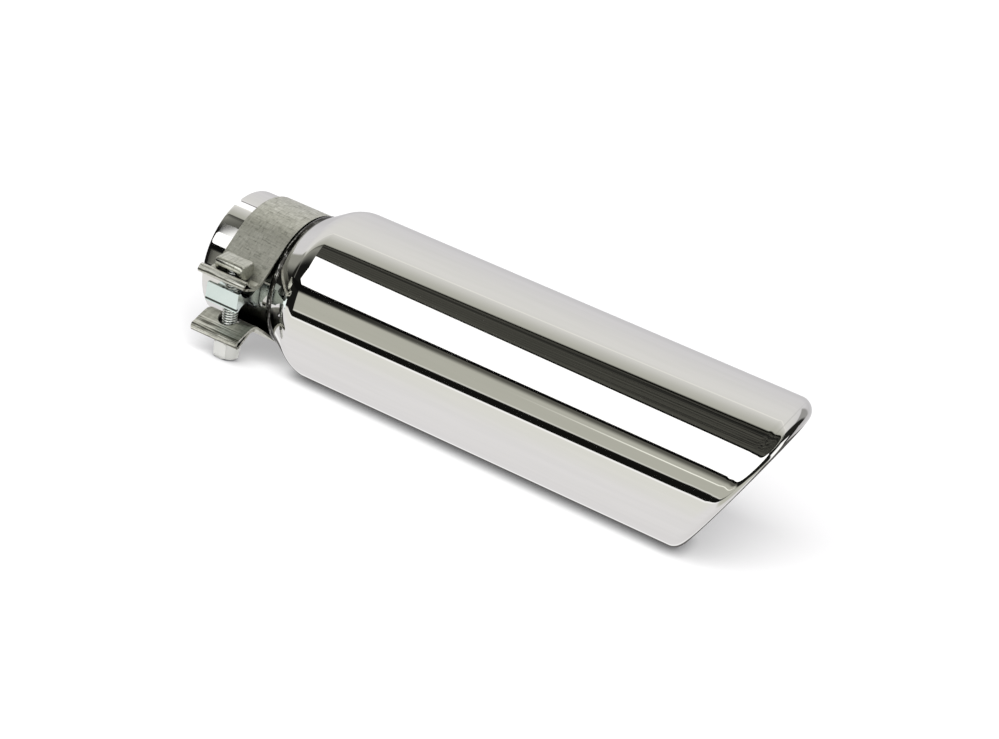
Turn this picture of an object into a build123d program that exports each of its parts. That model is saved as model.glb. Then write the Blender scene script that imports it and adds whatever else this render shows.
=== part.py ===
from build123d import *
import os
from math import acos, asin, atan2, cos, degrees, hypot, radians, sin, tan

os.makedirs("parts", exist_ok=True)

# Tip body: one polished tube with a spun shoulder, cut on the slant, its mouth edge rolled inwards
outlet_dia = 88.9
body_wall = 1.5
shoulder_slope = 32.0       # of the cone between neck and barrel, away from the axis
shoulder_radius = 16.0      # of the round where the cone runs into the barrel
cut_reach = 299.7           # from the inlet to where the slant cut crosses the axis
cut_angle = 30.4            # of the mouth, away from square
cut_turn = 77.5             # from the clamp bolt round to the long side of the cut
roll_radius = 7.0           # outside of the mouth's roll, in section
roll_return_radius = 2.2    # where the roll turns back into the tip, folded sharp inside
roll_land = 0.4             # flat left between the two rounds at the long side of the cut
roll_depth = 6.5            # how far the rolled edge comes back inside

# Inlet neck: slotted sleeve that slips over the tailpipe
inlet_bore = 63.7
neck_wall = 1.5
neck_length = 62.0
slot_count = 3
slot_width = 5.0
slot_length = 37.0
slot_turn = 74.6            # from the clamp bolt round to the first slot

# Weld bead between neck and shoulder
weld_foot = 0.9             # along the neck
weld_climb = 2.6            # up the cone, measured along the axis
weld_crown = 1.1            # how far its face swells
weld_gap = 0.35             # between the bead and the clamp band

# Clamp band: flat strap with two flared and hemmed ends
band_start = 12.0           # from the inlet
band_width = 28.4
band_thick = 1.2
band_fit = 0.1              # between strap and neck
hem_gap = 0.1               # between the strap and its folded leaf
fold_radius = 1.7
ridge_radius = 1.9
leaf_overrun = 22.0         # degrees the folded leaf passes the bottom of the cradle
upper_corner = (12.2, -4.4)     # outer edge of the upper lug: beyond the bolt, and above the cradle's centre
upper_ridge = (8.2, -0.4)
lower_corner = (12.6, -4.6)     # the same on the lower lug, seen upside down
lower_ridge = (12.8, 1.2)
upper_hole_dia = 9.0
lower_hole_dia = 11.6

# Bolt: half-round head that lies in the upper cradle
bolt_reach = 42.8           # from the tip's axis to the bolt's axis
bolt_dia = 7.94
cradle_rise = 19.0          # from mid gap to the centre of each lug's cradle
head_radius = 5.7
head_height = 3.6           # flat top above the cradle's centre
head_length = 16.6
head_foot = 2.7             # each end of the head that fills the cradle; the middle is relieved
head_edge = 0.8             # bevel round each end
head_top_edge = 2.4
seat_fit = 0.2              # between the head and the leaf under it

# Reaction block: waisted bar between the lugs
block_width = 19.4
block_height = 9.8
block_outer = 8.4           # from the bolt's axis to the outer face
block_waist = 2.4
block_scoop = 7.5           # radius of the two hollows
block_rise = 3.4            # of its middle, from mid gap
block_tilt = 6.0
block_hole_dia = 9.0
neck_fit = 0.3              # between the block and the neck

# Half-round seat and nut under the lower lug
seat_height = 2.5           # flat below the cradle's centre
seat_length = 13.0
nut_across_flats = 12.7
nut_height = 10.0
nut_chamfer = 1.3
thread_fit = 0.05

# Sizes that follow
body_r = outlet_dia / 2
bore_r = inlet_bore / 2
neck_r = bore_r + neck_wall
band_end = band_start + band_width
bolt_x = band_start + band_width / 2
cone_foot = band_end + weld_gap + weld_foot
cone_rise = body_r - neck_r - shoulder_radius * (1 - cos(radians(shoulder_slope)))
cone_length = cone_rise / tan(radians(shoulder_slope))
shoulder_end = cone_foot + cone_length + shoulder_radius * sin(radians(shoulder_slope))
cradle_r = head_radius + seat_fit
under_r = cradle_r + 2 * band_thick + hem_gap
long_half_angle = radians((90 - cut_angle) / 2)
round_spans = roll_radius / tan(long_half_angle) + roll_return_radius * tan(long_half_angle)
roll_width = (round_spans + roll_land) * cos(radians(cut_angle))
roll_join = (roll_radius / tan(long_half_angle) + roll_land) * cos(radians(cut_angle))
nut_corner_r = nut_across_flats / 2 / cos(radians(30))
nut_top = cradle_rise + seat_height
nut_end = nut_top + nut_height

# At rest the barrel and the rim of the nut's end lie on the floor, which sets how the clamp is turned
rim_out = bolt_reach + nut_corner_r - nut_chamfer
clamp_angle = degrees(atan2(nut_end, rim_out) - asin(body_r / hypot(rim_out, nut_end)))


def around(turn):
    """Direction from the axis, a turn in degrees away from the clamp bolt."""
    angle = radians(clamp_angle + turn)
    return Vector(0, -cos(angle), sin(angle))


def section_plane(x, out=0.0, rise=0.0, tilt=0.0):
    """Plane across the tip, facing the inlet: local X away from the axis, local Y along the bolt."""
    origin = Vector(x, 0, 0) + around(0) * out + around(90) * rise
    return Plane(origin=origin, x_dir=around(tilt), z_dir=(-1, 0, 0))


def bolt_plane(rise, facing=1):
    """Plane square to the bolt, at a height from mid gap."""
    origin = Vector(bolt_x, 0, 0) + around(0) * bolt_reach + around(90) * rise
    return Plane(origin=origin, x_dir=(1, 0, 0), z_dir=around(90) * facing)


def mouth_plane(back):
    """The slant cut, moved back into the tip."""
    slant = radians(cut_angle)
    normal = Vector(cos(slant), 0, 0) - around(cut_turn) * sin(slant)
    return Plane(origin=Vector(cut_reach, 0, 0) - normal * back, z_dir=normal)


def slant_ring(outer, inner, back, outer_edge):
    """Tube cut off on the slant, the outer edge of the cut rounded."""
    front = mouth_plane(back)
    with BuildPart() as ring:
        with BuildSketch(Plane.YZ.offset(shoulder_end)):
            Circle(outer)
            Circle(inner, mode=Mode.SUBTRACT)
        extrude(amount=2 * (cut_reach - shoulder_end))
        split(bisect_by=front, keep=Keep.BOTTOM)
        fillet(front_edges(ring, front)[-1], radius=outer_edge)
    return ring


def front_edges(ring, front):
    """Edges of the face that lies in the cut, the inner one first."""
    cut_face = ring.faces().sort_by(Axis(front.origin, front.z_dir))[-1]
    return cut_face.edges().sort_by(SortBy.LENGTH)


# Tip body
roll_inner = body_r - roll_width
roll_core = slant_ring(body_r - body_wall, roll_inner + body_wall, body_wall, roll_radius - body_wall)
roll_skin = slant_ring(body_r, roll_inner, 0, roll_radius)
with roll_skin:
    fillet(front_edges(roll_skin, mouth_plane(0))[0], radius=roll_return_radius)

outer_foot = (cone_foot, neck_r)
inner_foot = (cone_foot + body_wall / sin(radians(shoulder_slope)), neck_r)


def shoulder_line(foot, inset):
    """Half section of the shoulder, from the neck up the cone and round into the barrel."""
    barrel = Vector(shoulder_end, body_r - inset)
    centre = Vector(shoulder_end, body_r - shoulder_radius)
    cone_top = centre + Vector(0, shoulder_radius - inset).rotate(Axis.Z, shoulder_slope)
    Line(foot, cone_top)
    RadiusArc(cone_top, barrel, shoulder_radius - inset)


with BuildPart() as tip_body:
    with BuildSketch(Plane.XY):
        with BuildLine():
            shoulder_line(outer_foot, 0)
            shoulder_line(inner_foot, body_wall)
            Line(inner_foot, outer_foot)
            past_mouth = 2 * cut_reach
            Polyline(
                (shoulder_end, body_r),
                (past_mouth, body_r),
                (past_mouth, body_r - body_wall),
                (shoulder_end, body_r - body_wall),
            )
        make_face()
    revolve(axis=Axis.X)
    split(bisect_by=mouth_plane(roll_join), keep=Keep.BOTTOM)

with BuildPart() as behind_return:
    with BuildSketch(Plane.YZ.offset(shoulder_end)):
        Circle(body_r - roll_width / 2)
    extrude(amount=2 * (cut_reach - shoulder_end))
    split(bisect_by=mouth_plane(roll_depth), keep=Keep.BOTTOM)

with BuildPart() as rolled_mouth:
    add(roll_skin.part)
    add(roll_core.part, mode=Mode.SUBTRACT)
    add(behind_return.part, mode=Mode.SUBTRACT)
    split(bisect_by=mouth_plane(roll_join), keep=Keep.TOP)

with tip_body:
    add(rolled_mouth.part)

tip_body.part.label = "tip_body"
export_step(tip_body.part, "parts/tip_body.step")

# Inlet neck
with BuildPart() as inlet_neck:
    with BuildSketch(Plane.YZ):
        Circle(neck_r)
        Circle(bore_r, mode=Mode.SUBTRACT)
    extrude(amount=neck_length)
    for slot in range(slot_count):
        outward = around(slot_turn + slot * 360 / slot_count)
        with BuildSketch(Plane(origin=(0, 0, 0), x_dir=(1, 0, 0), z_dir=outward)):
            SlotOverall(2 * slot_length, slot_width)
        extrude(amount=2 * neck_r, mode=Mode.SUBTRACT)

inlet_neck.part.label = "inlet_neck"
export_step(inlet_neck.part, "parts/inlet_neck.step")

# Weld bead
bead_tip = Vector(*outer_foot) + Vector(weld_climb, weld_climb * tan(radians(shoulder_slope)))
bead_toe = Vector(*outer_foot) - Vector(weld_foot, 0)
bead_face = bead_tip - bead_toe
bead_out = bead_face.normalized().rotate(Axis.Z, 90) * weld_crown
crown = [bead_toe + bead_face * share + bead_out for share in (0.7, 0.3)]

with BuildPart() as neck_weld:
    with BuildSketch(Plane.XY):
        with BuildLine():
            Polyline(bead_toe, outer_foot, bead_tip, *crown, close=True)
        make_face()
    revolve(axis=Axis.X)

neck_weld.part.label = "neck_weld"
export_step(neck_weld.part, "parts/neck_weld.step")

# Clamp band
wrap_r = neck_r + band_fit
cradle = Vector(bolt_reach, cradle_rise)
cradle_turn = degrees(atan2(cradle_rise, bolt_reach))
leave_angle = cradle_turn + degrees(acos((wrap_r + under_r) / cradle.length))


def tangent_angle(radius, point):
    """Angle at the cradle's centre where a straight flank to an outer point leaves a round."""
    reach = Vector(*point)
    return degrees(atan2(reach.Y, reach.X) - acos(radius / reach.length))


def lug_line(side, corner, ridge):
    """Block-side line of one lug, from the wrap out to the fold and back along the leaf."""
    def at(radius, angle):
        return cradle + Vector(radius * cos(radians(angle)), radius * sin(radians(angle)))

    def place(point):
        return Vector(point.X, side * point.Y)

    flank = tangent_angle(under_r, corner)
    leaf = tangent_angle(cradle_r, ridge)
    arrive = leave_angle - 180
    leaf_end = -90 - leaf_overrun
    wrap_end = Vector(wrap_r * cos(radians(leave_angle)), wrap_r * sin(radians(leave_angle)))
    centre = place(cradle)
    Line(place(wrap_end), place(at(under_r, arrive)))
    CenterArc(centre, under_r, side * arrive, side * (flank - arrive))
    hem = [at(under_r, flank), cradle + Vector(*corner), cradle + Vector(*ridge), at(cradle_r, leaf)]
    FilletPolyline(*[place(point) for point in hem], radius=[fold_radius, ridge_radius])
    CenterArc(centre, cradle_r, side * leaf_end, side * (leaf - leaf_end))


with BuildPart() as clamp_band:
    with BuildSketch(section_plane(band_end)):
        with BuildLine():
            lug_line(1, upper_corner, upper_ridge)
            CenterArc((0, 0), wrap_r, leave_angle, 360 - 2 * leave_angle)
            lug_line(-1, lower_corner, lower_ridge)
            offset(amount=band_thick, side=Side.LEFT)
        make_face()
    extrude(amount=band_width)
    with BuildSketch(bolt_plane(0)):
        Circle(upper_hole_dia / 2)
    extrude(amount=2 * cradle_rise, mode=Mode.SUBTRACT)
    with BuildSketch(bolt_plane(0, facing=-1)):
        Circle(lower_hole_dia / 2)
    extrude(amount=2 * cradle_rise, mode=Mode.SUBTRACT)

clamp_band.part.label = "clamp_band"
export_step(clamp_band.part, "parts/clamp_band.step")

# Bolt with its half-round head
left = (-head_radius, 0)
right = (head_radius, 0)

with BuildPart() as t_bolt:
    with BuildSketch(section_plane(bolt_x + head_length / 2, bolt_reach, cradle_rise)):
        with BuildLine():
            Polyline(left, (-head_radius, head_height), (head_radius, head_height), right)
            ThreePointArc(left, (0, -head_radius), right)
        top_corners = make_face().vertices().group_by(Axis.Y)[-1]
        fillet(top_corners, radius=head_top_edge)
    extrude(amount=head_length)
    end_faces = t_bolt.faces().filter_by(Axis.X)
    chamfer(end_faces.edges(), length=head_edge)
    with BuildSketch(bolt_plane(cradle_rise, facing=-1)):
        Rectangle(head_length - 2 * head_foot, 4 * head_radius)
    extrude(amount=2 * head_radius, mode=Mode.SUBTRACT)
    with BuildSketch(bolt_plane(cradle_rise, facing=-1)):
        Circle(bolt_dia / 2)
    extrude(amount=cradle_rise + nut_end - nut_chamfer)

t_bolt.part.label = "t_bolt"
export_step(t_bolt.part, "parts/t_bolt.step")

# Reaction block
block_centre = Vector(bolt_reach, block_rise)
axis_in_block = -block_centre.rotate(Axis.Z, -block_tilt)

with BuildPart() as reaction_block:
    with BuildSketch(section_plane(bolt_x + block_width / 2, bolt_reach, block_rise, block_tilt)):
        with Locations((block_outer, 0)):
            Rectangle(bolt_reach - bore_r + block_outer, block_height, align=(Align.MAX, Align.CENTER))
        for side in (1, -1):
            with Locations((0, side * (block_waist / 2 + block_scoop))):
                Circle(block_scoop, mode=Mode.SUBTRACT)
        with Locations(axis_in_block):
            Circle(neck_r + neck_fit, mode=Mode.SUBTRACT)
    extrude(amount=block_width)
    with BuildSketch(bolt_plane(-cradle_rise)):
        Circle(block_hole_dia / 2)
    extrude(amount=2 * cradle_rise, mode=Mode.SUBTRACT)

reaction_block.part.label = "reaction_block"
export_step(reaction_block.part, "parts/reaction_block.step")

# Half-round seat of the nut
with BuildPart() as nut_seat:
    with BuildSketch(section_plane(bolt_x + seat_length / 2, bolt_reach, -cradle_rise)):
        with BuildLine():
            Polyline(left, (-head_radius, -seat_height), (head_radius, -seat_height), right)
            ThreePointArc(left, (0, head_radius), right)
        make_face()
    extrude(amount=seat_length)
    with BuildSketch(bolt_plane(0, facing=-1)):
        Circle(upper_hole_dia / 2)
    extrude(amount=nut_end, mode=Mode.SUBTRACT)

nut_seat.part.label = "nut_seat"
export_step(nut_seat.part, "parts/nut_seat.step")

# Nut, its corners turned off at both ends
with BuildPart() as clamp_nut:
    with BuildSketch(bolt_plane(-nut_top, facing=-1)):
        Circle(nut_corner_r)
    extrude(amount=nut_height)
    chamfer(clamp_nut.edges().filter_by(GeomType.CIRCLE), length=nut_chamfer)
    with BuildSketch(bolt_plane(-nut_top, facing=-1)):
        RegularPolygon(nut_across_flats / 2, 6, major_radius=False)
        Circle(bolt_dia / 2 + thread_fit, mode=Mode.SUBTRACT)
    extrude(amount=nut_height, mode=Mode.INTERSECT)

clamp_nut.part.label = "clamp_nut"
export_step(clamp_nut.part, "parts/clamp_nut.step")

print("clamp turned", round(clamp_angle, 2), "degrees from level at rest")
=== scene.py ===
from math import acos, cos, pi, radians, sin, tan

import bmesh
import bpy
from mathutils import Matrix, Vector


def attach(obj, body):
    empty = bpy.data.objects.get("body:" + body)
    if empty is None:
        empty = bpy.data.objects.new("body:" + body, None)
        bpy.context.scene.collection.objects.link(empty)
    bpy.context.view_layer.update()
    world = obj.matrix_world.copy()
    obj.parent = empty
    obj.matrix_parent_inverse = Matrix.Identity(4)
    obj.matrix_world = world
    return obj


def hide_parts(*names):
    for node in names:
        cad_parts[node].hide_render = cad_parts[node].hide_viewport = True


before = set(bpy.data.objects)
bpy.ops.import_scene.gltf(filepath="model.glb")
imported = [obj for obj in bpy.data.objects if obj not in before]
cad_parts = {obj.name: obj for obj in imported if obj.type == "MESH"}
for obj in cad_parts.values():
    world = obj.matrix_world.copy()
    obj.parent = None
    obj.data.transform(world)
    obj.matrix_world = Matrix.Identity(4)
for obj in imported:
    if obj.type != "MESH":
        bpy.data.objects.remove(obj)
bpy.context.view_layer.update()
scene = bpy.context.scene
mm = 0.001


class Wire:  # a node's output that can stand in an expression
    def __init__(self, sheet, socket):
        self.sheet = sheet
        self.socket = socket

    def __add__(self, other):
        return self.sheet.maths("ADD", self, other)

    def __radd__(self, other):
        return self.sheet.maths("ADD", other, self)

    def __sub__(self, other):
        return self.sheet.maths("SUBTRACT", self, other)

    def __rsub__(self, other):
        return self.sheet.maths("SUBTRACT", other, self)

    def __mul__(self, other):
        return self.sheet.maths("MULTIPLY", self, other)

    def __rmul__(self, other):
        return self.sheet.maths("MULTIPLY", other, self)

    def __truediv__(self, other):
        return self.sheet.maths("DIVIDE", self, other)

    def __rtruediv__(self, other):
        return self.sheet.maths("DIVIDE", other, self)

    def __neg__(self):
        return self.sheet.maths("MULTIPLY", self, -1.0)


class Sheet:  # one node tree, filled from nothing
    def __init__(self, tree):
        self.tree = tree
        tree.nodes.clear()

    def add(self, kind, settings=None, inputs=None, output=0):
        node = self.tree.nodes.new(kind)
        for key, value in (settings or {}).items():
            setattr(node, key, value)
        for key, value in (inputs or {}).items():
            if isinstance(value, Wire):
                self.tree.links.new(value.socket, node.inputs[key])
            else:
                node.inputs[key].default_value = value
        return Wire(self, node.outputs[output]) if len(node.outputs) else None

    def maths(self, operation, *values):
        return self.add("ShaderNodeMath", {"operation": operation}, dict(enumerate(values)))

    def ease(self, value, low, high, start=0.0, end=1.0):  # smooth step
        return self.add("ShaderNodeMapRange", {"interpolation_type": "SMOOTHSTEP"},
                        {"Value": value, "From Min": low, "From Max": high, "To Min": start, "To Max": end})

    def fade(self, value, low, high):
        return self.ease(value, low, high, 1.0, 0.0)

    def blend(self, factor, first, second):  # 6, 7 and 2 are the colour sockets
        first, second = [c if isinstance(c, Wire) else (*c, 1) for c in (first, second)]
        return self.add("ShaderNodeMix", {"data_type": "RGBA"}, {0: factor, 6: first, 7: second}, 2)

    def noise(self, vector, scale=1.0, detail=3.0, rough=0.5):
        return self.add("ShaderNodeTexNoise", None,
                        {"Vector": vector, "Scale": scale, "Detail": detail, "Roughness": rough})

    def place(self):
        return self.add("ShaderNodeTexCoord", output="Object")

    def parts(self, vector):
        return [self.add("ShaderNodeSeparateXYZ", None, {0: vector}, axis) for axis in range(3)]

    def millimetres(self, place):
        return [part / mm for part in self.parts(place)]

    def joined(self, x, y, z):
        return self.add("ShaderNodeCombineXYZ", None, {0: x, 1: y, 2: z})

    def stretched(self, vector, scale):
        return self.add("ShaderNodeVectorMath", {"operation": "MULTIPLY"}, {0: vector, 1: scale})

    def bump(self, strength, depth, height):
        return self.add("ShaderNodeBump", None,
                        {"Strength": strength, "Distance": depth * mm, "Height": height})

    def openness(self, reach, low, high, samples=6):  # 0 deep in a gap, 1 in the open
        sky = self.add("ShaderNodeAmbientOcclusion", {"samples": samples}, {"Distance": reach * mm}, "AO")
        return self.ease(sky, low, high)

    def metal(self, colour, roughness, normal):
        shader = self.add("ShaderNodeBsdfPrincipled", None,
                          {"Base Color": colour, "Metallic": 1.0, "Roughness": roughness, "Normal": normal})
        self.add("ShaderNodeOutputMaterial", None, {"Surface": shader})


def newSheet(name):
    mat = bpy.data.materials.new(name)
    mat.use_nodes = True
    return mat, Sheet(mat.node_tree)


# sizes in mm and degrees; angles round the axis are 0 towards -Y and 90 up
tip = {"radius": 44.45, "wall": 1.5, "slope": 32.0, "round": 16.0, "foot": (41.65, 33.35), "reach": 299.7,
       "cut": 30.4, "longSide": 60.42, "roll": 7.0, "back": 2.2, "land": 0.4, "depth": 6.5}
neck = {"bore": 31.85, "outer": 33.35, "length": 62.0,
        "slots": 3, "slot": 5.0, "slotLength": 37.0, "slotAngle": 57.52}
weld = {"ripples": 118, "lag": 0.55, "swell": 0.10, "swellCurve": 0.6, "crown": 0.95, "toe": 0.9, "top": 2.6,
        "rootIn": 0.5, "rootSink": 0.05}
bolt = {"angle": -17.08, "x": 26.2, "reach": 42.8, "head": 19.0, "end": -30.2,
        "major": 3.97, "minor": 3.16, "pitch": 1.411, "flank": 2.5, "point": 0.74, "pointLength": 1.2}


def outward(angle):
    return Vector((0, -cos(radians(angle)), sin(radians(angle))))


def ringPoint(x, radius, out):
    return Vector((x, 0, 0)) + out * radius


slant = radians(tip["cut"])
longOut = outward(tip["longSide"])
mouthAxis = Vector((cos(slant), 0, 0)) - longOut * sin(slant)
boltOut = outward(bolt["angle"])
boltUp = outward(bolt["angle"] + 90)
boltFoot = ringPoint(bolt["x"], bolt["reach"], boltOut)

gaps = {  # reach of a gap's shade in mm, and the openness where it starts and ends
    "neck": (16.0, 0.3, 0.62),
    "weld": (4.0, 0.25, 0.6),
    "strip": (5.0, 0.18, 0.5),
    "block": (5.0, 0.2, 0.55),
    "thread": (1.2, 0.35, 0.85),
    "floor": (7.0, 0.05, 0.95),
}


def polishedStainless(name, gap=None):
    look = {"tint": (0.72, 0.713, 0.695), "worn": (0.70, 0.695, 0.675), "inside": (0.26, 0.25, 0.235),
            "gap": (0.03, 0.03, 0.028), "rough": 0.024, "smearRough": 0.016, "streakRough": 0.01,
            "insideRough": 0.42, "streak": (18.0, 360.0, 360.0), "streakSpan": (0.3, 0.7),
            "smear": 18.0, "smearSpan": (0.45, 0.75), "wave": 14.0, "waveStrength": 0.05, "waveDepth": 0.4}
    inside = {"barrel": (43.2, 43.8), "lip": (6.6, 7.6), "shoulder": (65.5, 67.0),
              "neck": (32.2, 32.8), "neckEnd": (63.0, 64.0)}  # where the dull inside starts, mm
    mat, s = newSheet(name)
    place = s.place()
    x, y, z = s.millimetres(place)
    radius = s.maths("SQRT", y * y + z * z)
    behind = (tip["reach"] + (y * longOut.y + z * longOut.z) * tan(slant) - x) * cos(slant)  # the mouth
    inBarrel = (s.fade(radius, *inside["barrel"]) * s.ease(behind, *inside["lip"])
                * s.ease(x, *inside["shoulder"]))
    inNeck = s.fade(radius, *inside["neck"]) * s.fade(x, *inside["neckEnd"])
    within = inBarrel + inNeck
    streak = s.noise(s.stretched(place, look["streak"]))
    smear = s.ease(s.noise(place, look["smear"]), *look["smearSpan"])
    rough = (look["rough"] + smear * look["smearRough"] + streak * look["streakRough"]
             + within * look["insideRough"])
    colour = s.blend(s.ease(streak, *look["streakSpan"]), look["tint"], look["worn"])
    colour = s.blend(within, colour, look["inside"])
    if gap:
        # painted shade: the colour goes dark deep in gaps, where parts close by would shade it
        colour = s.blend(s.openness(*gap), look["gap"], colour)
    wave = s.noise(place, look["wave"], detail=1.0)
    s.metal(colour, rough, s.bump(look["waveStrength"], look["waveDepth"], wave))
    return mat


def scratchedStrip(name, tint, dark, rough):
    wear = {
        "bright": {"colour": (0.78, 0.78, 0.72), "span": (0.53, 0.7), "across": 0.55, "along": 0.5},
        "scratch": {"colour": (0.24, 0.24, 0.20), "span": (0.47, 0.31), "across": 0.62, "along": 0.55},
        "lineBright": {"colour": (0.85, 0.85, 0.79), "span": (0.54, 0.64), "share": 0.8},
        "lineDark": {"colour": (0.07, 0.07, 0.055), "span": (0.48, 0.40), "share": 0.88},
    }
    look = {"gap": (0.02, 0.02, 0.017), "across": (180.0, 1000.0, 1000.0), "along": 8.0, "coarse": 0.7,
            "line": (35.0, 900.0, 900.0), "lug": (47.5, 49.5), "grain": 900.0, "grainCoarse": 0.6,
            "grainSpan": (0.3, 0.75), "grainShare": 0.5, "grainRough": 0.08, "brightRough": 0.1,
            "lugRough": 0.12, "bumpStrength": 0.2, "bumpDepth": 0.05, "bumpLines": 0.5, "bumpGrain": 0.4}
    mat, s = newSheet(name)
    place = s.place()
    x, y, z = s.millimetres(place)
    across = s.noise(s.stretched(place, look["across"]), rough=look["coarse"])
    turn = s.maths("ARCTAN2", z, y)
    along = s.noise(s.joined(x, turn * look["along"], 0.0), rough=look["coarse"])
    grain = s.noise(place, look["grain"], rough=look["grainCoarse"])
    line = s.noise(s.stretched(place, look["line"]))
    lug = s.ease(y * boltOut.y + z * boltOut.z, *look["lug"])

    def marks(kind):  # fine scratches, across the strip and along it
        return s.ease(across, *kind["span"]) * kind["across"] + s.ease(along, *kind["span"]) * kind["along"]

    bright = marks(wear["bright"])
    colour = s.blend(s.ease(grain, *look["grainSpan"]) * look["grainShare"], tint, dark)
    colour = s.blend(bright, colour, wear["bright"]["colour"])
    colour = s.blend(marks(wear["scratch"]), colour, wear["scratch"]["colour"])
    for kind in (wear["lineBright"], wear["lineDark"]):  # longer lines on the lugs
        colour = s.blend(lug * s.ease(line, *kind["span"]) * kind["share"], colour, kind["colour"])
    # painted shade: darker deep in gaps between parts
    colour = s.blend(s.openness(*gaps["strip"]), look["gap"], colour)
    rough = rough + grain * look["grainRough"] - bright * look["brightRough"] - lug * look["lugRough"]
    relief = across * look["bumpLines"] + along * look["bumpLines"] + grain * look["bumpGrain"]
    s.metal(colour, rough, s.bump(look["bumpStrength"], look["bumpDepth"], relief))
    return mat


def zincPlate(name, tint, shade, rough, gap, shadeLine=None):
    look = {"gap": (0.03, 0.04, 0.04), "cloud": 70.0, "cloudSpan": (0.35, 0.7), "grain": 1100.0,
            "cloudRough": 0.06, "grainRough": 0.03, "bumpStrength": 0.04, "bumpDepth": 0.03}
    mat, s = newSheet(name)
    place = s.place()
    cloud = s.noise(place, look["cloud"])
    grain = s.noise(place, look["grain"], detail=2.0)
    colour = s.blend(s.ease(cloud, *look["cloudSpan"]), tint, shade)
    # painted shade: darker deep in gaps, in thread valleys and where the part meets others
    colour = s.blend(s.openness(*gap), look["gap"], colour)
    if shadeLine:  # painted shade: a dark line low on the block's outer face
        x, y, z = s.millimetres(place)
        rise = y * boltUp.y + z * boltUp.z
        onFace = s.ease(y * boltOut.y + z * boltOut.z, *shadeLine["face"])
        line = s.ease(rise, *shadeLine["low"]) * s.fade(rise, *shadeLine["high"])
        colour = s.blend(line * onFace, colour, shadeLine["colour"])
    rough = rough + cloud * look["cloudRough"] + grain * look["grainRough"]
    s.metal(colour, rough, s.bump(look["bumpStrength"], look["bumpDepth"], cloud))
    return mat


def weldMetal(name):
    look = {"heatTintShade": (0.045, 0.043, 0.039), "deepHeatTintShade": (0.018, 0.017, 0.015), "glint": (0.62, 0.615, 0.585),
            "gap": (0.02, 0.02, 0.018), "cloud": 240.0, "cloudSpan": (0.3, 0.7), "grain": 1300.0,
            "lineTurn": 7.0, "lineAlong": 1.1, "lineSlice": 3.0, "glintSpan": (0.5, 0.66),
            "rippleSpan": (0.5, 0.95), "ripple": 0.55, "topSpan": (0.65, 1.05), "topShare": 0.3,
            "rough": 0.1, "cloudRough": 0.12, "bumpStrength": 0.3, "bumpDepth": 0.1}
    mat, s = newSheet(name)
    place = s.place()
    x, y, z = s.millimetres(place)
    cloud = s.noise(place, look["cloud"])
    angle = s.maths("ARCTAN2", z, -y)
    ripple = s.maths("FRACT", angle * (weld["ripples"] / (2 * pi)) + (weld["ripples"] + weld["lag"]))
    lines = s.joined(angle * look["lineTurn"], x * look["lineAlong"], look["lineSlice"])
    # painted glints: bright streaks along the ripple crests
    glint = s.ease(s.noise(lines, detail=2.0), *look["glintSpan"])
    glint = glint * (1 - look["ripple"] + s.ease(ripple, *look["rippleSpan"]) * look["ripple"])
    glint = glint * s.ease(angle, *look["topSpan"], 1.0, look["topShare"])  # painted glints fade on top, which is left dark as painted shade
    # heat tint, darkened further as painted shade
    colour = s.blend(s.ease(cloud, *look["cloudSpan"]), look["heatTintShade"], look["deepHeatTintShade"])
    colour = s.blend(glint, colour, look["glint"])
    # painted shade: darker deep in the gap beside the band
    colour = s.blend(s.openness(*gaps["weld"]), look["gap"], colour)
    rough = look["rough"] + cloud * look["cloudRough"]
    grain = s.noise(place, look["grain"])
    s.metal(colour, rough, s.bump(look["bumpStrength"], look["bumpDepth"], grain))
    return mat


# painted shade: where the dark line sits low on the block's outer face
blockShadeLine = {"colour": (0.05, 0.055, 0.05), "face": (50.0, 50.3), "low": (-0.1, 0.2), "high": (1.0, 1.3)}
mats = {
    "polished": polishedStainless("polishedStainless"),
    "neck": polishedStainless("polishedNeck", gaps["neck"]),
    "strip": scratchedStrip("brushedStainless", tint=(0.58, 0.58, 0.515), dark=(0.51, 0.51, 0.445),
                            rough=0.42),
    "bolt": scratchedStrip("boltSteel", tint=(0.57, 0.575, 0.51), dark=(0.48, 0.485, 0.42), rough=0.27),
    "block": zincPlate("zincPlateBlue", tint=(0.73, 0.81, 0.80), shade=(0.69, 0.78, 0.77), rough=0.12,
                       gap=gaps["block"], shadeLine=blockShadeLine),
    "zinc": zincPlate("zincPlate", tint=(0.88, 0.88, 0.86), shade=(0.83, 0.84, 0.82), rough=0.14,
                      gap=gaps["block"]),
    "thread": zincPlate("zincPlateThread", tint=(0.84, 0.86, 0.83), shade=(0.78, 0.80, 0.77), rough=0.16,
                        gap=gaps["thread"]),
    "nut": zincPlate("zincPlateNut", tint=(0.90, 0.90, 0.88), shade=(0.86, 0.87, 0.85), rough=0.42,
                     gap=gaps["block"]),
    "weld": weldMetal("weldMetal"),
}
print("materials made")


def smoothShade(mesh, sharp):
    mesh.shade_smooth()
    mesh.set_sharp_from_angle(angle=radians(sharp))


def keepPiece(mesh, name, material, node, sharp):
    mesh.update()
    smoothShade(mesh, sharp)
    piece = bpy.data.objects.new(name, mesh)
    scene.collection.objects.link(piece)
    mesh.materials.append(material)
    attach(piece, "root")
    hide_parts(node)
    return piece


def newPiece(name, points, faces, material, node, sharp):
    mesh = bpy.data.meshes.new(name)
    mesh.from_pydata([point * mm for point in points], [], faces)
    return keepPiece(mesh, name, material, node, sharp)


def faceOutwards(mesh):
    bm = bmesh.new()
    bm.from_mesh(mesh)
    bmesh.ops.recalc_face_normals(bm, faces=bm.faces)
    bm.to_mesh(mesh)
    bm.free()


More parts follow.
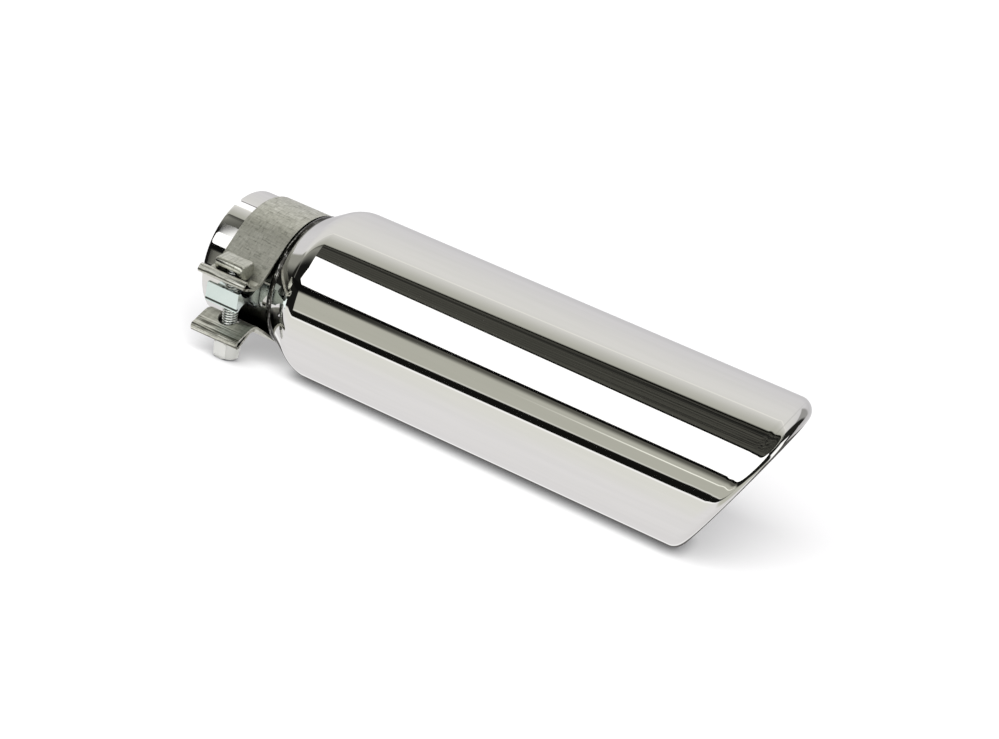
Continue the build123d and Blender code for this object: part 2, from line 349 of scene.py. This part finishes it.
def gridFaces(rings, count, closed=True):  # rings of count points each, joined into quads
    faces = []
    for r in range(rings if closed else rings - 1):
        low, high = r * count, (r + 1) % rings * count
        for c in range(count):
            d = (c + 1) % count
            faces.append((low + c, low + d, high + d, high + c))
    return faces


def turned(first, second, share, angle):  # from one direction to another, at a share of the angle between
    return (first * sin((1 - share) * angle) + second * sin(share * angle)) / sin(angle)


def tipBody():  # spun shoulder, barrel and rolled mouth as one fine skin
    build = {"around": 288, "cone": 4, "shoulder": 18, "barrel": 16, "roll": 26, "back": 10, "sharp": 40.0}
    radius, wall, roll, back, depth = [tip[key] for key in ("radius", "wall", "roll", "back", "depth")]
    half = radians((90 - tip["cut"]) / 2)
    inner = radius - (roll / tan(half) + back * tan(half) + tip["land"]) * cos(slant)
    footX, footR = tip["foot"]
    slope = radians(tip["slope"])
    coneX = footX + (radius - footR - tip["round"] * (1 - cos(slope))) / tan(slope)
    endX = coneX + tip["round"] * sin(slope)

    def shoulder(inset):  # x and radius from the foot to the barrel
        bend = tip["round"] - inset
        angles = [slope * (1 - k / build["shoulder"]) for k in range(build["shoulder"] + 1)]
        arc = [(endX - bend * sin(a), radius - tip["round"] + bend * cos(a)) for a in angles]
        start = (footX + inset / sin(slope), footR)
        shares = [k / build["cone"] for k in range(build["cone"])]
        cone = [[a + (b - a) * share for a, b in zip(start, arc[0])] for share in shares]
        return cone + arc

    def barrel(start, end):
        return [start.lerp(end, k / build["barrel"]) for k in range(1, build["barrel"])]

    def column(angle):  # the skin's section at one angle, out to the mouth and back inside
        out = outward(angle)
        lean = tan(slant) * cos(radians(angle - tip["longSide"]))

        def at(r, behind):  # a radius and a distance behind the plane of the mouth
            return ringPoint(tip["reach"] + r * lean - behind / cos(slant), r, out)

        ball, ballBack = at(radius - roll, roll), at(inner + back, back)
        facing = acos(out.dot(mouthAxis))
        arc = [turned(out, mouthAxis, k / build["roll"], facing) for k in range(build["roll"] + 1)]
        arcBack = [turned(mouthAxis, -out, k / build["back"], pi - facing) for k in range(build["back"] + 1)]
        outerLine = [ringPoint(x, r, out) for x, r in shoulder(0)]
        innerLine = [ringPoint(x, r, out) for x, r in shoulder(wall)]
        points = outerLine + barrel(outerLine[-1], ball + out * roll)
        points += [ball + m * roll for m in arc]
        points += [ballBack + m * back for m in arcBack]
        points += [at(inner, (back + depth) / 2), at(inner, depth), at(inner + wall, depth)]
        points += [at(inner + wall, (wall + depth) / 2), at(inner + wall, wall)]
        core = [ball + m * (roll - wall) for m in reversed(arc)]
        return points + core + barrel(core[-1], innerLine[-1]) + innerLine[::-1]

    count = build["around"]
    columns = [column(360 * k / count) for k in range(count)]
    rings = len(columns[0])
    points = [columns[c][r] for r in range(rings) for c in range(count)]
    newPiece("tipBody", points, gridFaces(rings, count), mats["polished"],
             "tip_body", build["sharp"])


def slotCutter():  # one bar for each saw slot, round at its inner end
    build = {"ahead": 5.0, "steps": 16, "from": 25.0, "to": 40.0}
    half = neck["slot"] / 2
    angles = [pi * k / build["steps"] for k in range(build["steps"] + 1)]
    outline = [(-build["ahead"], half), (-build["ahead"], -half)]
    outline += [(neck["slotLength"] - half + half * sin(a), -half * cos(a)) for a in angles]
    size = len(outline)
    points, faces = [], []
    for k in range(neck["slots"]):
        out = outward(neck["slotAngle"] + 360 / neck["slots"] * k)
        side = Vector((1, 0, 0)).cross(out)
        low = len(points)
        high = low + size
        for r in (build["from"], build["to"]):
            points += [(ringPoint(x, r, out) + side * w) * mm for x, w in outline]
        faces += [tuple(range(low, high))[::-1], tuple(range(high, high + size))]
        for i in range(size):
            j = (i + 1) % size
            faces.append((low + i, low + j, high + j, high + i))
    mesh = bpy.data.meshes.new("slotCutter")
    mesh.from_pydata(points, [], faces)
    faceOutwards(mesh)
    cutter = bpy.data.objects.new("slotCutter", mesh)
    scene.collection.objects.link(cutter)
    return cutter


def inletNeck():  # tube with saw slots, its open end slightly drawn in
    build = {"around": 240, "rows": 31, "edge": 1.2, "drawn": 0.12, "drawSteps": 8, "sharp": 32.0}
    count, edge = build["around"], build["edge"]
    shares = [k / build["drawSteps"] for k in range(build["drawSteps"])]
    drawn = [(edge * share, build["drawn"] * (1 - share) ** 2) for share in shares]
    rows = [neck["length"] * k / build["rows"] for k in range(build["rows"] + 1)]
    rows = [x for x in rows if x >= edge]
    section = [(x, neck["outer"] - d) for x, d in drawn] + [(x, neck["outer"]) for x in rows]
    section += [(x, neck["bore"]) for x in reversed(rows)] + [(x, neck["bore"]) for x, d in reversed(drawn)]
    spokes = [outward(360 * (k + 0.5) / count) for k in range(count)]
    points = [ringPoint(x, r, out) for x, r in section for out in spokes]
    tube = newPiece("inletNeck", points, gridFaces(len(section), count), mats["neck"],
                    "inlet_neck", build["sharp"])
    faceOutwards(tube.data)
    cutter = slotCutter()
    cut = tube.modifiers.new("slots", "BOOLEAN")
    cut.object = cutter
    cut.operation = "DIFFERENCE"
    cut.solver = "EXACT"
    bpy.context.view_layer.update()
    slotted = bpy.data.meshes.new_from_object(tube.evaluated_get(bpy.context.evaluated_depsgraph_get()))
    tube.modifiers.remove(cut)
    bpy.data.objects.remove(cutter)
    tube.data = slotted
    smoothShade(slotted, build["sharp"])


def neckWeld():  # overlapped ripples all round
    build = {"steps": 6, "section": 10, "sharp": 50.0}
    footX, footR = tip["foot"]
    toe = Vector((footX - weld["toe"], footR))
    top = Vector((footX + weld["top"], footR + weld["top"] * tan(radians(tip["slope"]))))
    face = top - toe
    crownOut = Vector((-face.y, face.x)).normalized()
    count, section = weld["ripples"] * build["steps"], build["section"]

    def spot(row, c):  # x and radius
        share = row / section
        bulge = 4 * share * (1 - share)
        phase = (c / build["steps"] + weld["lag"] * bulge) % 1.0
        ridge = phase ** weld["swellCurve"] * weld["swell"] * bulge
        return toe + face * share + crownOut * (weld["crown"] * bulge + ridge)

    spokes = [outward(360 * c / count) for c in range(count)]
    points = [ringPoint(*spot(row, c), spokes[c]) for row in range(section + 1) for c in range(count)]
    points += [ringPoint(footX + weld["rootIn"], footR - weld["rootSink"], out) for out in spokes]
    newPiece("neckWeld", points, gridFaces(section + 2, count), mats["weld"],
             "neck_weld", build["sharp"])


def fromCad(node, name, material, edge, drop=None):  # the CAD form with broken edges
    build = {"merge": 0.002, "flat": 0.4, "sharp": 32.0, "segments": 2, "bevelFrom": 38.0}
    bm = bmesh.new()
    bm.from_mesh(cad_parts[node].data)
    bmesh.ops.remove_doubles(bm, verts=bm.verts, dist=build["merge"] * mm)
    if drop:
        dropped = [face for face in bm.faces if drop(face.calc_center_median())]
        bmesh.ops.delete(bm, geom=dropped, context="FACES")
    bmesh.ops.dissolve_limit(bm, angle_limit=radians(build["flat"]), verts=bm.verts, edges=bm.edges)
    mesh = bpy.data.meshes.new(name)
    bm.to_mesh(mesh)
    bm.free()
    piece = keepPiece(mesh, name, material, node, build["sharp"])
    bevel = piece.modifiers.new("edges", "BEVEL")
    bevel.width = edge * mm
    bevel.segments = build["segments"]
    bevel.limit_method = "ANGLE"
    bevel.angle_limit = radians(build["bevelFrom"])
    bevel.harden_normals = True


def onShank(spot):  # faces of the CAD's plain shank, which the thread takes the place of
    slack = {"head": 0.3, "radius": 0.08}
    away = spot / mm - boltFoot
    rise = away.dot(boltUp)
    near = (away - boltUp * rise).length < bolt["major"] + slack["radius"]
    return near and rise < bolt["head"] - slack["head"]


def threadedShank():
    build = {"around": 40, "perTurn": 10, "sharp": 60.0}
    count = build["around"]
    length = bolt["head"] - bolt["end"]
    rows = int(length / bolt["pitch"] * build["perTurn"])

    def threadPoint(r, c):
        turn = c / count
        rise = bolt["head"] - length * r / rows
        tooth = (rise / bolt["pitch"] + turn) % 1.0
        height = min(1.0, max(0.0, bolt["flank"] * (0.5 - abs(tooth - 0.5))))
        taper = min(1.0, bolt["point"] + (1 - bolt["point"]) * (rise - bolt["end"]) / bolt["pointLength"])
        radius = (bolt["minor"] + (bolt["major"] - bolt["minor"]) * height) * taper
        spoke = Vector((1, 0, 0)) * cos(2 * pi * turn) + boltOut * sin(2 * pi * turn)
        return boltFoot + boltUp * rise + spoke * radius

    points = [threadPoint(r, c) for r in range(rows + 1) for c in range(count)]
    faces = gridFaces(rows + 1, count, closed=False)
    faces.append(tuple(rows * count + c for c in range(count)))  # end of the bolt
    newPiece("boltThread", points, faces, mats["thread"], "t_bolt", build["sharp"])


tipBody()
print("tip body made")
inletNeck()
neckWeld()
print("neck and weld made")
fromCad("clamp_band", "clampBand", mats["strip"], edge=0.16)
fromCad("t_bolt", "boltHead", mats["bolt"], edge=0.35, drop=onShank)
threadedShank()
fromCad("reaction_block", "reactionBlock", mats["block"], edge=0.35)
fromCad("nut_seat", "nutSeat", mats["zinc"], edge=0.25)
fromCad("clamp_nut", "clampNut", mats["nut"], edge=0.22)
print("clamp made")


def paleFloor():
    look = {"size": 24, "x": 0.15, "paper": (0.95, 0.95, 0.95), "paperPale": (0.965, 0.965, 0.965),
            "cloud": 3.0, "rough": 0.9, "contactShadow": (0.13, 0.13, 0.135), "glow": (1.06, 1.06, 1.06),
            "glowShare": 0.31}
    bpy.ops.mesh.primitive_plane_add(size=look["size"], location=(look["x"], 0, -tip["radius"] * mm))
    floor = bpy.context.active_object
    floor.name = "floor"
    mat, s = newSheet("paleFloor")
    shade = s.blend(s.noise(s.place(), look["cloud"], detail=2.0), look["paper"], look["paperPale"])
    paper = s.add("ShaderNodeBsdfPrincipled", None,
                  {"Base Color": shade, "Roughness": look["rough"], "Specular IOR Level": 0.0})
    # painted contact shadow: the floor's glow darkens close to the tip
    glow = s.blend(s.openness(*gaps["floor"]), look["contactShadow"], look["glow"])
    white = s.add("ShaderNodeBsdfPrincipled", None,
                  {"Base Color": (0, 0, 0, 1), "Specular IOR Level": 0.0,
                   "Emission Color": glow, "Emission Strength": 1.0})
    seen = s.add("ShaderNodeLightPath", output="Is Camera Ray") * look["glowShare"]
    both = s.add("ShaderNodeMixShader", None, {0: seen, 1: paper, 2: white})
    s.add("ShaderNodeOutputMaterial", None, {"Surface": both})
    floor.data.materials.append(mat)
    floor.visible_glossy = False


def studio():  # a long softbox over a dark room, seen only in the metal; places in degrees
    bends = [  # height of an edge over the barrel's end, its slope to the inlet, its run to the mouth
        (-32.2, 0.26, -13.0, -22.1, -12.3),
        (-22.3, 0.5, -25.4, -0.7, -26.9),
        (-7.5, 0.0, -16.0, -8.0, -16.0),
        (7.2, -0.17, -30.8, 15.4, -17.2),
        (44.6, -0.58, -22.0, 10.0, -3.3),
        (78.6, 0.9, -6.5, -5.1, 13.2),
    ]
    run = {"start": -21.0, "length": 60.0, "inlet": 10.0}  # where the edges bend, along the tip
    zones = [  # from, to, softness of each edge, colour
        (65.0, 91.0, 1.0, 14.0, (0.56, 0.56, 0.50)),      # haze above the room
        (97.8, 99.4, 0.5, 0.5, (1.04, 1.03, 0.98)),       # seam of the backdrop
        (-32.2, 78.0, 0.4, 1.1, (0.090, 0.089, 0.076)),   # dark room
        (75.0, 77.4, 0.5, 0.5, (0.004, 0.004, 0.003)),    # its ceiling line
        (69.0, 72.2, 0.8, 0.8, (0.035, 0.035, 0.031)),    # beam
        (-2.0, 5.6, 2.4, 0.4, (0.125, 0.123, 0.107)),     # shade under the softbox
        (-21.0, -1.2, 0.8, 3.0, (0.59, 0.59, 0.52)),      # wall
    ]
    tableEdge = [
        (-32.2, -22.1, 0.3, 0.6, (0.008, 0.008, 0.007)),
        (-21.9, -20.3, 0.4, 0.5, (0.80, 0.80, 0.74)),
        (-34.5, -32.4, 0.7, 0.3, (1.25, 1.25, 1.25)),
    ]
    bands = {  # from, to, softness of each edge
        "rail": (-8.1, -6.9, 0.45, 0.45),
        "streaks": (50.0, 75.5, 1.0, 1.0),
        "corner": (-1.5, 8.0, 1.8, 0.4),
        "border": (3.7, 46.5, 0.3, 0.4),
        "softbox": (7.0, 44.2, 0.25, 0.25),
    }
    tones = {
        "table": (0.985, 0.972, 0.985), "tableFar": (0.85, 0.835, 0.845), "tableNear": (0.97, 0.968, 0.92),
        "tableEnd": (0.66, 0.66, 0.59), "under": (0.12, 0.115, 0.11), "rim": (1.1, 1.1, 1.1),
        "behind": (0.66, 0.65, 0.665), "backdrop": (0.94, 0.932, 0.913), "backdropTop": (0.825, 0.815, 0.835),
        "backdropShade": (0.40, 0.395, 0.39), "backdropEnd": (0.02, 0.02, 0.018), "rail": (1.28, 1.28, 1.17),
        "gloom": (0.012, 0.012, 0.011), "dusk": (0.37, 0.37, 0.33), "pole": (0.015, 0.015, 0.013),
        "corner": (0.006, 0.006, 0.006), "border": (0.004, 0.004, 0.004), "softbox": (1.7, 1.7, 1.7),
        "lamp": (1.4, 1.4, 1.4), "ambient": (0.225, 0.217, 0.228), "floorSide": (0.12, 0.12, 0.12),
        "open": (1, 1, 1),
    }
    spans = {  # where a change starts and ends
        "horizon": (20.0, 60.0), "tableFar": (-155.0, -85.0), "tableNear": (-75.0, -36.0),
        "tableBack": (-168.0, -164.0), "underLow": (-165.0, -163.0), "underHigh": (-149.0, -146.0),
        "rimLow": (-145.0, -143.0), "rimHigh": (-141.0, -138.0), "tableEnd": (30.0, 36.0),
        "tableEndLow": (-153.0, -149.0), "backdrop": (98.0, 160.0), "backdropBack": (150.0, 180.0),
        "shadeLow": (144.0, 149.0), "shadeStart": (6.0, 12.0), "backdropEnd": (62.0, 69.0),
        "railStart": (-25.8, -21.8), "edgeEnd": (33.0, 38.0), "past": (50.5, 54.0), "pastHigh": (0.0, 10.0),
        "lampStart": (46.5, 49.5), "lampEnd": (60.0, 66.0), "lampHigh": (-152.0, -149.0),
        "streakTone": (0.47, 0.54), "streakStart": (-27.0, -22.0), "gloomEnd": (-32.0, -31.0),
        "roof": (-5.0, 5.0), "foot": (-1.5, 1.5), "dusk": (-32.0, 4.0), "greyEnd": (-76.0, -70.0),
        "greyTilt": (0.33, 0.38), "poleEnd": (-77.0, -72.0), "poleTilt": (0.02, 0.2),
        "cornerEnd": (-29.8, -26.0), "softboxEnd": (-0.12, 0.12), "offFloor": (0.4, 0.6),
    }
    slants = {"backdropEnd": (113.0, 0.72), "past": (120.0, 0.35), "lamp": (-168.0, 1.1)}  # height, lean
    streaks = {"edge": 66.0, "across": 1.1, "along": 0.04, "coarse": 0.7, "share": (0.4, 0.95)}
    inlet = {"left": 30.0, "far": 50.0, "roof": 66.0, "roofLean": 0.1, "foot": 33.0, "footLean": 0.15,
             "footCurve": 0.06, "tilt": 1.1}
    box = {"end": 31.7, "corner": 32.0, "lower": 1.6, "upper": 0.0167, "lift": 0.5,
           "borderSoft": 0.3, "litSoft": 0.2}

    world = bpy.data.worlds.new("studio")
    scene.world = world
    world.use_nodes = True
    world.cycles.sampling_method = "NONE"
    s = Sheet(world.node_tree)
    x, y, z = s.parts(s.add("ShaderNodeTexCoord", output="Generated"))
    height = s.maths("ARCTAN2", z, -y) * (180 / pi)
    along = s.maths("ARCSINE", x) * (180 / pi)

    def above(value, start):
        return s.maths("MAXIMUM", value, start) - start

    toMouth = above(along, run["start"]) / run["length"]
    toMouth2 = toMouth * toMouth
    toMouth4 = toMouth2 * toMouth2
    toInlet = s.maths("MINIMUM", above(along, run["start"] - run["inlet"]), run["inlet"]) - run["inlet"]

    def bent(edge):  # height, less the run of an edge at that height
        edge = min(max(edge, bends[0][0]), bends[-1][0])
        low, high = next(p for p in zip(bends, bends[1:]) if edge <= p[1][0])
        share = (edge - low[0]) / (high[0] - low[0])
        slope, run1, run2, run4 = [a + (b - a) * share for a, b in zip(low[1:], high[1:])]
        return height - (toInlet * slope + toMouth * run1 + toMouth2 * run2 + toMouth4 * run4)

    def within(low, high, softLow, softHigh):
        return (s.ease(bent(low), low - softLow, low + softLow)
                * s.fade(bent(high), high - softHigh, high + softHigh))

    def rises(value, key):
        return s.ease(value, *spans[key])

    def falls(value, key):
        return s.fade(value, *spans[key])

    def slanted(value, key):
        start, lean = slants[key]
        return along + above(value, start) * lean

    table = s.blend(rises(height, "tableFar"), tones["tableFar"], tones["table"])
    table = s.blend(rises(height, "tableNear"), table, tones["tableNear"])
    table = s.blend(falls(height, "tableBack"), table, tones["behind"])
    table = s.blend(rises(height, "underLow") * falls(height, "underHigh"), table, tones["under"])
    table = s.blend(rises(height, "rimLow") * falls(height, "rimHigh"), table, tones["rim"])
    table = s.blend(rises(along, "tableEnd") * rises(height, "tableEndLow"), table, tones["tableEnd"])
    backdrop = s.blend(rises(height, "backdrop"), tones["backdrop"], tones["backdropTop"])
    backdrop = s.blend(rises(height, "backdropBack"), backdrop, tones["behind"])
    shade = rises(height, "shadeLow") * rises(along, "shadeStart")
    backdrop = s.blend(shade, backdrop, tones["backdropShade"])
    backdropEnd = rises(slanted(height, "backdropEnd"), "backdropEnd")
    backdrop = s.blend(backdropEnd, backdrop, tones["backdropEnd"])
    colour = s.blend(rises(height, "horizon"), table, backdrop)
    for low, high, softLow, softHigh, tone in zones:
        colour = s.blend(within(low, high, softLow, softHigh), colour, tone)
    colour = s.blend(within(*bands["rail"]) * rises(along, "railStart"), colour, tones["rail"])
    edgeEnd = falls(along, "edgeEnd")
    for low, high, softLow, softHigh, tone in tableEdge:
        colour = s.blend(within(low, high, softLow, softHigh) * edgeEnd, colour, tone)

    # past the mouth the room is dark, with one lamp low behind the tip
    past = rises(slanted(-height, "past"), "past") * falls(height, "pastHigh")
    colour = s.blend(past, colour, tones["gloom"])
    lamp = rises(slanted(height, "lamp"), "lampStart") * falls(along, "lampEnd") * falls(height, "lampHigh")
    colour = s.blend(lamp, colour, tones["lamp"])
    grain = s.joined(bent(streaks["edge"]) * streaks["across"], along * streaks["along"], 0.0)
    streak = rises(s.noise(grain, rough=streaks["coarse"]), "streakTone")
    streakShare = s.ease(along, *spans["streakStart"], *streaks["share"])
    colour = s.blend(within(*bands["streaks"]) * streak * streakShare, colour, tones["gloom"])

    # towards the inlet the room is dark from the table up to the backdrop
    left = above(-along, inlet["left"])
    far = above(-along, inlet["far"])
    roof = height - (inlet["roof"] + left * inlet["roofLean"])
    foot = height + inlet["foot"] + left * inlet["footLean"] + far * far * inlet["footCurve"]
    gloom = falls(roof, "roof") * rises(foot, "foot") * falls(along, "gloomEnd")
    colour = s.blend(gloom, colour, s.blend(rises(roof, "dusk"), tones["gloom"], tones["dusk"]))
    tilt = z + y * inlet["tilt"]
    colour = s.blend(falls(along, "greyEnd") * falls(tilt, "greyTilt"), colour, tones["dusk"])
    colour = s.blend(falls(along, "poleEnd") * falls(tilt, "poleTilt"), colour, tones["pole"])

    # the softbox comes to a blunt point at that end, and its lower edge rises
    end = along + box["end"] + above(-height, -box["corner"]) / box["lower"]
    end = rises(end - above(height, box["corner"]) * box["upper"], "softboxEnd")

    def lifted(low, soft):
        return s.ease(bent(low) - left * box["lift"], low - soft, low + soft)

    corner = within(*bands["corner"]) * falls(along, "cornerEnd")
    colour = s.blend(corner, colour, tones["corner"])
    border = within(*bands["border"]) * lifted(bands["border"][0], box["borderSoft"])
    colour = s.blend(border * end, colour, tones["border"])
    lit = within(*bands["softbox"]) * lifted(bands["softbox"][0], box["litSoft"])
    colour = s.blend(lit * end, colour, tones["softbox"])

    camera, glossy, bounces = [s.add("ShaderNodeLightPath", output=name)
                               for name in ("Is Camera Ray", "Is Glossy Ray", "Diffuse Depth")]
    mirrored = s.blend(rises(bounces, "offFloor"), colour, tones["floorSide"])
    light = s.blend(glossy, tones["ambient"], mirrored)
    light = s.blend(camera, light, tones["open"])
    back = s.add("ShaderNodeBackground", None, {"Color": light, "Strength": 1.0})
    s.add("ShaderNodeOutputWorld", None, {"Surface": back})


def skyLamp():  # lights the floor alone
    settings = {"strength": 5.7, "spread": 50.0, "aim": (-0.55, 1.55, -1.0)}
    data = bpy.data.lights.new("skyLamp", "SUN")
    data.energy = settings["strength"]
    data.angle = radians(settings["spread"])
    lamp = bpy.data.objects.new("skyLamp", data)
    lamp.rotation_mode = "QUATERNION"
    lamp.rotation_quaternion = Vector(settings["aim"]).to_track_quat("-Z", "Y")
    lamp.visible_glossy = False
    scene.collection.objects.link(lamp)


def photoCamera():  # the photo's view, turned with the tip to where it rests
    settings = {"lens": 108.1, "sensor": 36, "clipEnd": 100, "spot": (0.7921, -1.2587, 0.3612),
                "ahead": (-0.4354, 0.8650, -0.2492), "right": (0.8223, 0.4949, 0.2809)}
    data = bpy.data.cameras.new("camera")
    data.lens = settings["lens"]
    data.sensor_width = settings["sensor"]
    data.clip_end = settings["clipEnd"]
    camera = bpy.data.objects.new("camera", data)
    scene.collection.objects.link(camera)
    back = -Vector(settings["ahead"]).normalized()
    right = Vector(settings["right"])
    right = (right - back * right.dot(back)).normalized()
    up = back.cross(right)
    turn = Matrix((right, up, back)).transposed().to_4x4()
    camera.matrix_world = Matrix.Translation(settings["spot"]) @ turn
    scene.camera = camera


paleFloor()
studio()
skyLamp()
photoCamera()
scene.view_settings.view_transform = "Standard"
print("stage made")
